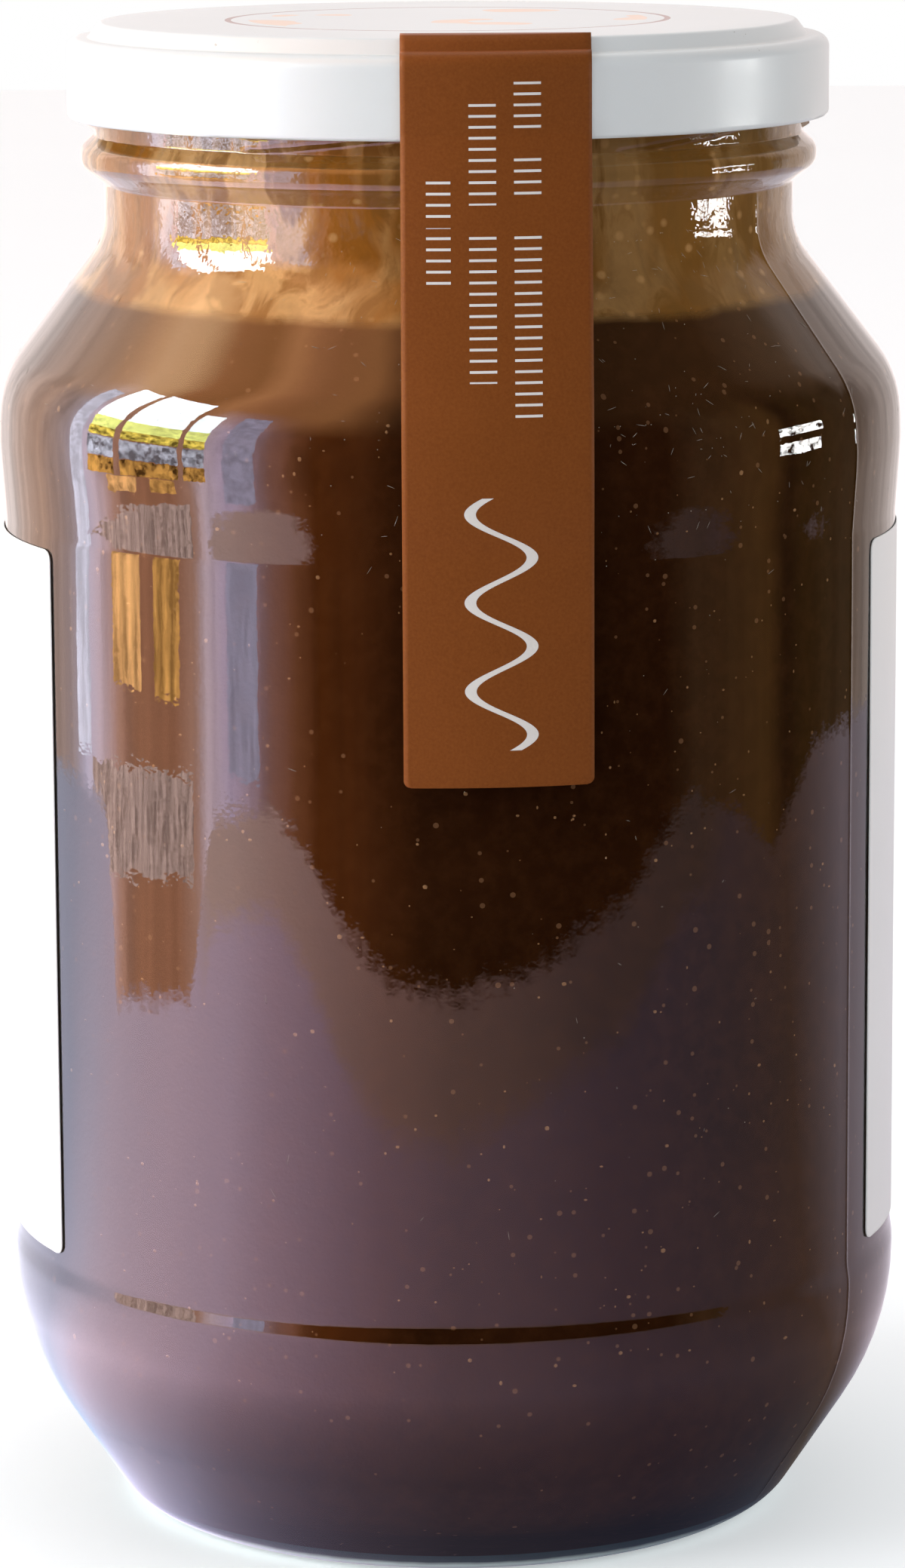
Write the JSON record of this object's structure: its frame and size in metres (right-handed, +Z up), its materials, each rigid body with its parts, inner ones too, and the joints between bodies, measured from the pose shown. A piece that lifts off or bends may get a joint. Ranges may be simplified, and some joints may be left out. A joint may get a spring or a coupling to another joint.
{
  "type": "jar of nut butter",
  "caption": "Closed glass jar of dark nut butter with a white twist-off lid, a brown seal strip over lid and shoulder, and a wrapped white side label.",
  "frame": {"origin": "centre of the base, on the surface the jar stands on", "axes": "+Z up along the jar's axis; the seal strip and the bare front of the glass face -Y; +X to the right seen from the front"},
  "size_m": [0.103, 0.1034, 0.1711],
  "materials": {
    "clear_glass": "polished, faint green tint",
    "lid_enamel": "gloss white enamel on tinplate",
    "seal_compound": "soft matte",
    "nut_paste": "smooth oily paste",
    "strip_vinyl": "satin brown film with a fine grain",
    "label_paper": "coated white paper"
  },
  "bodies": {
    "root": {"jar_glass": "clear_glass", "lid": "lid_enamel", "lid_seal": "seal_compound", "nut_butter": "nut_paste", "seal_strip": "strip_vinyl", "side_label": "label_paper"}
  },
  "joints": []
}
